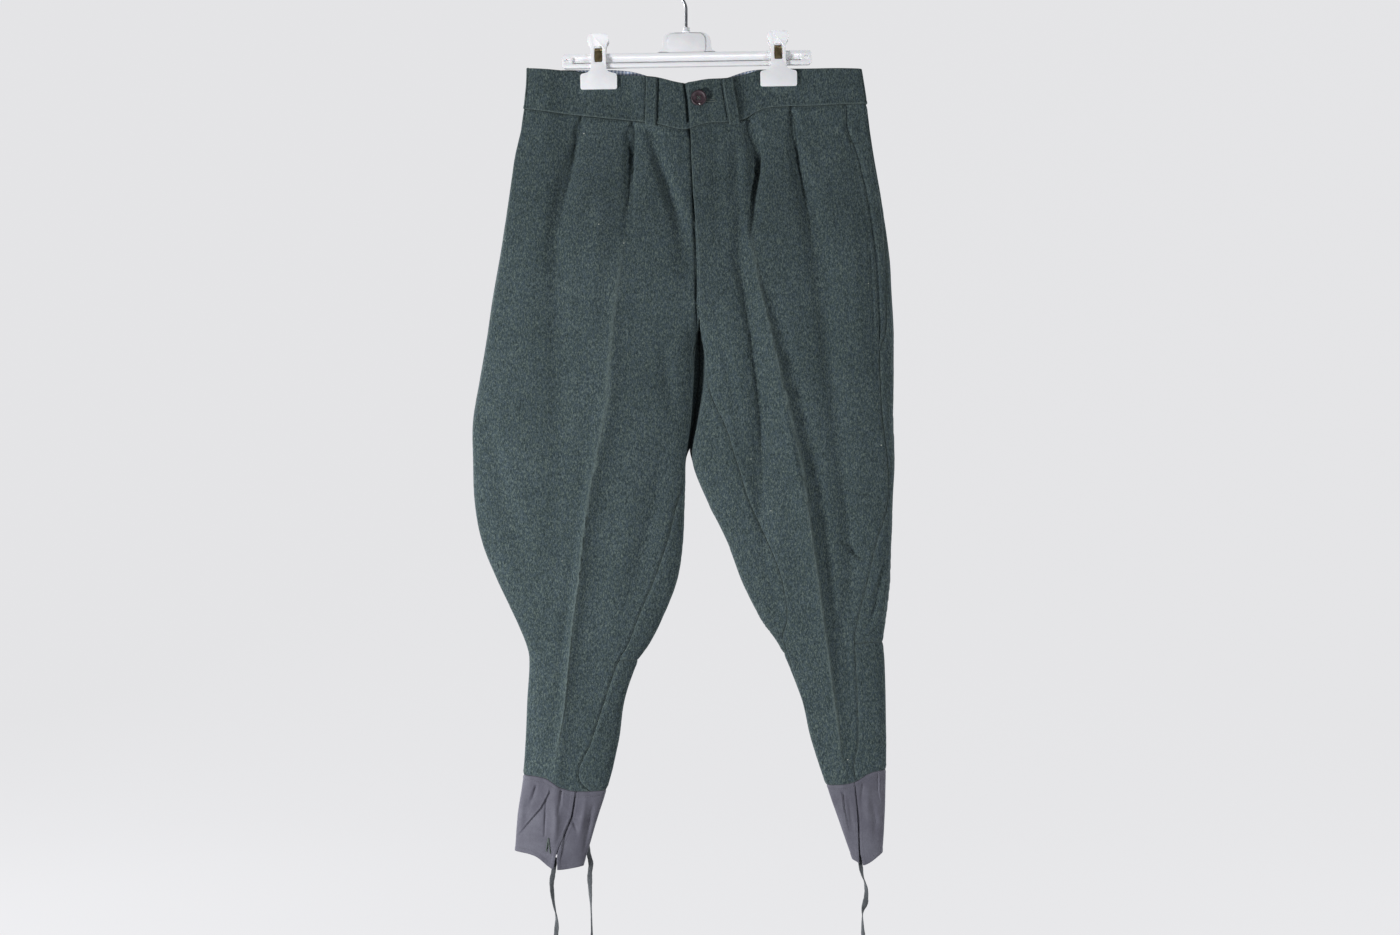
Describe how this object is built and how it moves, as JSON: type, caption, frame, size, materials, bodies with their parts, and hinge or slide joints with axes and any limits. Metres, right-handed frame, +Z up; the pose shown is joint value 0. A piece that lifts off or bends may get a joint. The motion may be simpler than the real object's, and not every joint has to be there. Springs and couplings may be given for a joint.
{
  "type": "military trousers on a clip hanger",
  "caption": "Felted wool military breeches with full thighs, narrow calves and cotton cuffs, hung by the waistband from a white clip hanger.",
  "frame": {"origin": "inner top of the hook's crown, where the rail bears", "axes": "+Z up, -Y the front of the trousers, +X the wearer's left"},
  "size_m": [0.5352, 0.0665, 1.4305],
  "materials": {
    "wool": "felted wool, matt",
    "pocket_wool": "felted wool, matt",
    "cuff_cotton": "plain cotton, matt",
    "lining": "smooth lining cloth",
    "tie_tape": "twisted tape, matt",
    "hanger_plastic": "white, moulded",
    "wire": "plated steel",
    "spring_leaf": "bare steel",
    "button": "dark maroon, polished"
  },
  "bodies": {
    "root": {"front_right": "wool", "front_left": "wool", "pocket_facing_right": "pocket_wool", "pocket_facing_left": "pocket_wool", "back_right": "wool", "back_left": "wool", "calf_right": "wool", "calf_left": "wool", "waistband_front_right": "wool", "waistband_front_left": "wool", "waistband_back_right": "wool", "waistband_back_left": "wool", "cuff_right": "cuff_cotton", "cuff_left": "cuff_cotton", "lining_strip_right": "lining", "lining_strip_left": "lining", "belt_loop_front_right": "wool", "belt_loop_front_left": "wool", "belt_loop_side_right": "wool", "belt_loop_side_left": "wool", "belt_loop_back": "wool", "waist_button": "button", "tie_right_slit": "tie_tape", "tie_right_inner": "tie_tape", "tie_left_slit": "tie_tape", "hanger_bar": "hanger_plastic", "hanger_collar": "hanger_plastic", "hanger_hook": "wire", "clip_jaw_front_right": "hanger_plastic", "clip_jaw_back_right": "hanger_plastic", "clip_spring_right": "spring_leaf", "clip_jaw_front_left": "hanger_plastic", "clip_jaw_back_left": "hanger_plastic", "clip_spring_left": "spring_leaf"}
  },
  "joints": []
}
